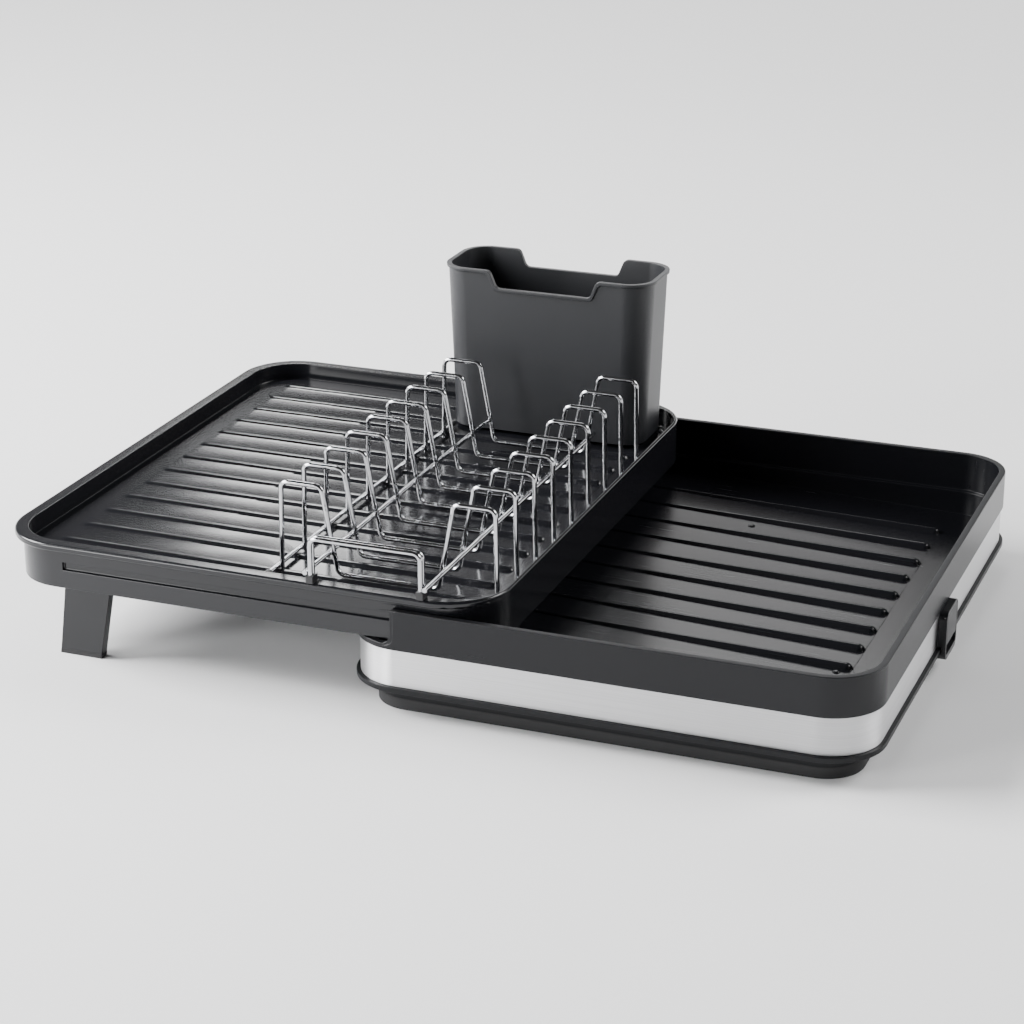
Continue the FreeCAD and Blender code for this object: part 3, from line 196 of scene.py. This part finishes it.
def makeRimGroup():
    # The flat top of a rim is more matt than the floor below it.
    group = bpy.data.node_groups.new("mattRim", "ShaderNodeTree")
    socket(group, "Roughness", "INPUT", "NodeSocketFloat", 0.3)
    socket(group, "Rim Top", "INPUT", "NodeSocketFloat", 0.08)
    socket(group, "More Roughness", "INPUT", "NodeSocketFloat", 0.2)
    socket(group, "Roughness", "OUTPUT", "NodeSocketFloat")
    links = group.links
    entry = group.nodes.new("NodeGroupInput")
    leave = group.nodes.new("NodeGroupOutput")
    place = group.nodes.new("ShaderNodeTexCoord")
    split = group.nodes.new("ShaderNodeSeparateXYZ")
    start = group.nodes.new("ShaderNodeMath")
    start.operation = "SUBTRACT"
    start.inputs[1].default_value = rimSettings["depth"]
    spread = group.nodes.new("ShaderNodeMapRange")
    add = group.nodes.new("ShaderNodeMath")
    links.new(place.outputs["Object"], split.inputs[0])
    links.new(split.outputs["Z"], spread.inputs["Value"])
    links.new(entry.outputs["Rim Top"], start.inputs[0])
    links.new(start.outputs[0], spread.inputs["From Min"])
    links.new(entry.outputs["Rim Top"], spread.inputs["From Max"])
    links.new(entry.outputs["More Roughness"], spread.inputs["To Max"])
    links.new(entry.outputs["Roughness"], add.inputs[0])
    links.new(spread.outputs["Result"], add.inputs[1])
    links.new(add.outputs[0], leave.inputs["Roughness"])
    return group


def topOf(name):
    return max(vertex.co.z for vertex in nodes[name].data.vertices)


grainGroup = makeGrainGroup()
streakGroup = makeStreakGroup()
rimGroup = makeRimGroup()
print("shader groups ready")


def newMaterial(name):
    material = bpy.data.materials.new(name)
    material.use_nodes = True
    tree = material.node_tree
    return material, tree, tree.nodes["Principled BSDF"]


def groupNode(tree, group):
    node = tree.nodes.new("ShaderNodeGroup")
    node.node_tree = group
    return node


def addStreakAndRim(tree, settings, gloss):
    streak = groupNode(tree, streakGroup)
    streak.inputs["Stretch"].default_value = streakSettings["trayStretch"]
    spread = tree.nodes.new("ShaderNodeMapRange")
    spread.inputs["To Min"].default_value = -settings["streak"]
    spread.inputs["To Max"].default_value = settings["streak"]
    add = tree.nodes.new("ShaderNodeMath")
    tree.links.new(streak.outputs["Height"], spread.inputs["Value"])
    tree.links.new(spread.outputs["Result"], add.inputs[0])
    tree.links.new(gloss, add.inputs[1])
    rim = groupNode(tree, rimGroup)
    rim.inputs["Rim Top"].default_value = topOf(settings["rimNode"])
    rim.inputs["More Roughness"].default_value = settings["rimMatt"]
    tree.links.new(add.outputs[0], rim.inputs["Roughness"])
    return rim.outputs["Roughness"]


def plasticMaterial(name):
    settings = materialSettings[name]
    material, tree, shader = newMaterial(name)
    shader.inputs["Base Color"].default_value = (*settings["colour"], 1)
    shader.inputs["IOR"].default_value = settings["ior"]
    grain = groupNode(tree, grainGroup)
    grain.inputs["Roughness"].default_value = settings["roughness"]
    bump = tree.nodes.new("ShaderNodeBump")
    bump.inputs["Distance"].default_value = grainSettings["depth"]
    bump.inputs["Strength"].default_value = settings["grain"]
    tree.links.new(grain.outputs["Height"], bump.inputs["Height"])
    tree.links.new(bump.outputs["Normal"], shader.inputs["Normal"])
    gloss = grain.outputs["Roughness"]
    if "streak" in settings:
        gloss = addStreakAndRim(tree, settings, gloss)
    tree.links.new(gloss, shader.inputs["Roughness"])
    return material


def steelMaterial(name):
    settings = materialSettings[name]
    material, tree, shader = newMaterial(name)
    shader.inputs["Metallic"].default_value = 1
    streak = groupNode(tree, streakGroup)
    streak.inputs["Stretch"].default_value = settings["stretch"]
    tint = tree.nodes.new("ShaderNodeMix")
    tint.data_type = "RGBA"
    dark = tuple(part * (1 - settings["contrast"]) for part in settings["colour"])
    light = tuple(part * (1 + settings["contrast"]) for part in settings["colour"])
    tint.inputs[6].default_value = (*dark, 1)
    tint.inputs[7].default_value = (*light, 1)
    spread = tree.nodes.new("ShaderNodeMapRange")
    low, high = streakSettings["steelSpread"]
    spread.inputs["To Min"].default_value = settings["roughness"] + low
    spread.inputs["To Max"].default_value = settings["roughness"] + high
    bump = tree.nodes.new("ShaderNodeBump")
    bump.inputs["Distance"].default_value = streakSettings["steelDepth"]
    bump.inputs["Strength"].default_value = settings["relief"]
    tree.links.new(streak.outputs["Height"], tint.inputs[0])
    tree.links.new(streak.outputs["Height"], spread.inputs["Value"])
    tree.links.new(streak.outputs["Height"], bump.inputs["Height"])
    tree.links.new(tint.outputs[2], shader.inputs["Base Color"])
    tree.links.new(spread.outputs["Result"], shader.inputs["Roughness"])
    tree.links.new(bump.outputs["Normal"], shader.inputs["Normal"])
    if "anisotropy" in settings:
        shader.inputs["Anisotropic"].default_value = settings["anisotropy"]
        shader.inputs["Anisotropic Rotation"].default_value = streakSettings["steelTurn"]
        around = tree.nodes.new("ShaderNodeTangent")
        around.direction_type = "RADIAL"
        around.axis = "Z"
        tree.links.new(around.outputs["Tangent"], shader.inputs["Tangent"])
    return material


materials = {name: plasticMaterial(name) if "grain" in materialSettings[name] else steelMaterial(name)
             for name in materialSettings}
plateWires = ["plate_wire_%d" % place for place in range(1, 10)]

# which nodes wear which finish
finishes = {
    "basePlastic": ["base_tray"],
    "trayPlastic": ["extension_tray"],
    "coverPlastic": ["bottom_cover"],
    "blackPlastic": ["drain_housing", "drain_flap", "guide_tab_front", "guide_tab_back",
                     "leg_front", "leg_back", "leg_bracket_front", "leg_bracket_back"],
    "holderPlastic": ["cutlery_holder"],
    "capPlastic": ["rail_caps"],
    "gripRubber": ["foot_ring", "drain_seal", "leg_pad_front", "leg_pad_back"],
    "brushedSteel": ["steel_band"],
    "screwSteel": ["base_screws", "flap_pin", "leg_pin_front", "leg_pin_back"],
    "chromeWire": ["guard_wire_outer", "guard_wire_inner", "upper_rail_left", "upper_rail_right",
                   "left_foot_rail", "right_foot_rail"] + plateWires,
}


def dressNodes():
    for finish, names in finishes.items():
        for name in names:
            data = nodes[name].data
            data.materials.clear()
            data.materials.append(materials[finish])


dressNodes()
print("materials ready")

# Softened edges on the mouldings, the steel band and the legs

edgeSettings = {
    "weld": 0.00001,
    "width": 0.00035,
    "trayWidth": 0.0005,
    "segments": 2,
    "angle": 38.0,
    "faceWeight": 80,
    "finishes": ("basePlastic", "trayPlastic", "blackPlastic", "coverPlastic", "holderPlastic",
                 "brushedSteel"),
}


def softenEdges(piece):
    weld = piece.modifiers.new("Weld", "WELD")
    weld.merge_threshold = edgeSettings["weld"]
    bevel = piece.modifiers.new("Bevel", "BEVEL")
    bevel.width = edgeSettings["trayWidth" if "_tray" in piece.name else "width"]
    bevel.segments = edgeSettings["segments"]
    bevel.limit_method = "ANGLE"
    bevel.angle_limit = math.radians(edgeSettings["angle"])
    bevel.use_clamp_overlap = False
    weighted = piece.modifiers.new("WeightedNormal", "WEIGHTED_NORMAL")
    weighted.keep_sharp = False
    weighted.weight = edgeSettings["faceWeight"]


for finish in edgeSettings["finishes"]:
    for name in finishes[finish]:
        softenEdges(nodes[name])
print("edges softened")

# Weld beads, where the plate rack's wires cross its rails

beadSettings = {
    "across": 0.0011,
    "along": 0.0017,
    "rings": 6,
    "sides": 10,
}


def middle(node):
    low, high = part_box(node)
    return (Vector(low) + Vector(high)) / 2


def addBead(shape, place):
    size = Matrix.Diagonal((beadSettings["across"], beadSettings["along"], beadSettings["along"], 1))
    bmesh.ops.create_uvsphere(shape, u_segments=beadSettings["sides"], v_segments=beadSettings["rings"],
                              radius=1, matrix=Matrix.Translation(place) @ size)


def makeWeldBeads():
    shape = bmesh.new()
    radius = (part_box("upper_rail_left")[1][2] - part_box("upper_rail_left")[0][2]) / 2
    for wire in plateWires:
        y = middle(wire).y
        for rail in ("upper_rail_left", "upper_rail_right", "left_foot_rail", "right_foot_rail"):
            low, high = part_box(rail)
            inward = 1 if "left" in rail else -1
            x = (low[0] + high[0]) / 2
            if "foot" in rail:  # from the outer side, because a hook widens the right rail's box
                x = low[0] + radius if "left" in rail else high[0] - radius
            addBead(shape, (x + inward * radius, y, (low[2] + high[2]) / 2))
    data = bpy.data.meshes.new("weldBeads")
    shape.to_mesh(data)
    shape.free()
    for face in data.polygons:
        face.use_smooth = True
    beads = bpy.data.objects.new("weldBeads", data)
    bpy.context.collection.objects.link(beads)
    data.materials.append(materials["chromeWire"])
    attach(beads, "plate_rack")


makeWeldBeads()
print("weld beads ready")

# Two small moulded nubs on the base's floor

nubSettings = {
    "places": [(0.1278, 0.1116, 0.0319), (0.2456, -0.1020, 0.0280)],
    # radius and height of the outline, from the floor to the top
    "outline": [(0.0026, 0.0), (0.0024, 0.0005), (0.0019, 0.0008), (0.0010, 0.0010)],
    "sides": 20,
}


def makeFloorNubs():
    shape = bmesh.new()
    sides = nubSettings["sides"]
    turns = [2 * math.pi * step / sides for step in range(sides)]
    for place in nubSettings["places"]:
        rings = []
        for radius, height in nubSettings["outline"]:
            ring = [Vector((radius * math.cos(turn), radius * math.sin(turn), height)) for turn in turns]
            rings.append([shape.verts.new(Vector(place) + point) for point in ring])
        for lower, upper in zip(rings, rings[1:]):
            for step in range(sides):
                after = (step + 1) % sides
                shape.faces.new((lower[step], lower[after], upper[after], upper[step]))
        shape.faces.new(rings[-1])
        shape.faces.new(rings[0][::-1])
    data = bpy.data.meshes.new("floorNubs")
    shape.to_mesh(data)
    shape.free()
    nubs = bpy.data.objects.new("floorNubs", data)
    bpy.context.collection.objects.link(nubs)
    data.materials.append(materials["basePlastic"])
    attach(nubs, "base")


makeFloorNubs()
print("floor nubs ready")

# Floor, backdrop and lights

lightSettings = {
    "floor": (0.93, 0.93, 0.935),
    "floorHalf": 12,
    "floorRoughness": 0.8,
    "glow": 1.8,
    "glowReach": (1.5, 4.4),
    "skyStrength": 2.2,
    # height above the horizon as the sine of its angle, brightness there
    "skyRamp": [(0.0, 1.0), (0.15, 1.0), (0.22, 0.05), (0.42, 0.05), (0.60, 0.03), (1.0, 0.03)],
    "dimSide": (0.45, -0.89),
    "dimTurn": (0.45, 0.95),
    "dimTo": 0.25,
    # name, place, aim, width, height, power
    "soft": [
        ("behindNarrow", (-1.18, 1.99, 1.29), (0, 0, 0.04), 0.24, 0.50, 6),
        ("behindWide", (-0.44, 2.10, 1.38), (0, 0, 0.04), 0.72, 0.80, 7.6),
        ("left", (-2.15, -0.45, 1.55), (0, 0, 0.02), 1.6, 1.4, 215),
        ("right", (2.10, 1.30, 1.90), (0.1, 0, 0.02), 1.5, 1.2, 80),
        ("frontLeft", (-1.60, -2.20, 0.75), (0, -0.1, 0.03), 0.9, 1.2, 55),
    ],
}


def makeFloor():
    data = bpy.data.meshes.new("Floor")
    shape = bmesh.new()
    bmesh.ops.create_grid(shape, x_segments=2, y_segments=2, size=lightSettings["floorHalf"])
    shape.to_mesh(data)
    shape.free()
    floor = bpy.data.objects.new("Floor", data)
    bpy.context.collection.objects.link(floor)
    material, tree, shader = newMaterial("paleFloor")
    shader.inputs["Roughness"].default_value = lightSettings["floorRoughness"]
    shader.inputs["Base Color"].default_value = (*lightSettings["floor"], 1)
    # The floor glows far away, where the lamps no longer reach it.
    shader.inputs["Emission Strength"].default_value = 1
    place = tree.nodes.new("ShaderNodeTexCoord")
    away = tree.nodes.new("ShaderNodeVectorMath")
    away.operation = "LENGTH"
    glow = tree.nodes.new("ShaderNodeMapRange")
    glow.interpolation_type = "SMOOTHSTEP"
    near, far = lightSettings["glowReach"]
    glow.inputs["From Min"].default_value = near
    glow.inputs["From Max"].default_value = far
    glow.inputs["To Max"].default_value = lightSettings["glow"]
    tree.links.new(place.outputs["Object"], away.inputs[0])
    tree.links.new(away.outputs["Value"], glow.inputs["Value"])
    tree.links.new(glow.outputs["Result"], shader.inputs["Emission Color"])
    data.materials.append(material)


def makeSky():
    # A studio that is bright low down and dark overhead, and dimmer behind the camera.
    world = bpy.data.worlds.new("Studio")
    bpy.context.scene.world = world
    world.use_nodes = True
    tree = world.node_tree
    links = tree.links
    place = tree.nodes.new("ShaderNodeTexCoord")
    split = tree.nodes.new("ShaderNodeSeparateXYZ")
    ramp = tree.nodes.new("ShaderNodeValToRGB")
    stops = ramp.color_ramp.elements
    for index, (height, light) in enumerate(lightSettings["skyRamp"]):
        stop = stops[index] if index < 2 else stops.new(height)
        stop.position = height
        stop.color = (light, light, light, 1)
    side = tree.nodes.new("ShaderNodeVectorMath")
    side.operation = "DOT_PRODUCT"
    side.inputs[1].default_value = (*lightSettings["dimSide"], 0)
    dim = tree.nodes.new("ShaderNodeMapRange")
    dim.interpolation_type = "SMOOTHSTEP"
    low, high = lightSettings["dimTurn"]
    dim.inputs["From Min"].default_value = low
    dim.inputs["From Max"].default_value = high
    dim.inputs["To Min"].default_value = lightSettings["skyStrength"]
    dim.inputs["To Max"].default_value = lightSettings["skyStrength"] * lightSettings["dimTo"]
    links.new(place.outputs["Generated"], split.inputs[0])
    links.new(split.outputs["Z"], ramp.inputs["Fac"])
    links.new(place.outputs["Generated"], side.inputs[0])
    links.new(side.outputs["Value"], dim.inputs["Value"])
    links.new(ramp.outputs["Color"], tree.nodes["Background"].inputs["Color"])
    links.new(dim.outputs["Result"], tree.nodes["Background"].inputs["Strength"])


def makeLights():
    for name, place, aim, width, height, power in lightSettings["soft"]:
        data = bpy.data.lights.new(name, "AREA")
        data.shape = "RECTANGLE"
        data.size = width
        data.size_y = height
        data.energy = power
        lamp = bpy.data.objects.new(name, data)
        bpy.context.collection.objects.link(lamp)
        lamp.location = place
        lamp.rotation_euler = (Vector(aim) - Vector(place)).to_track_quat("-Z", "Y").to_euler()


makeFloor()
makeSky()
makeLights()
print("floor and lights ready")
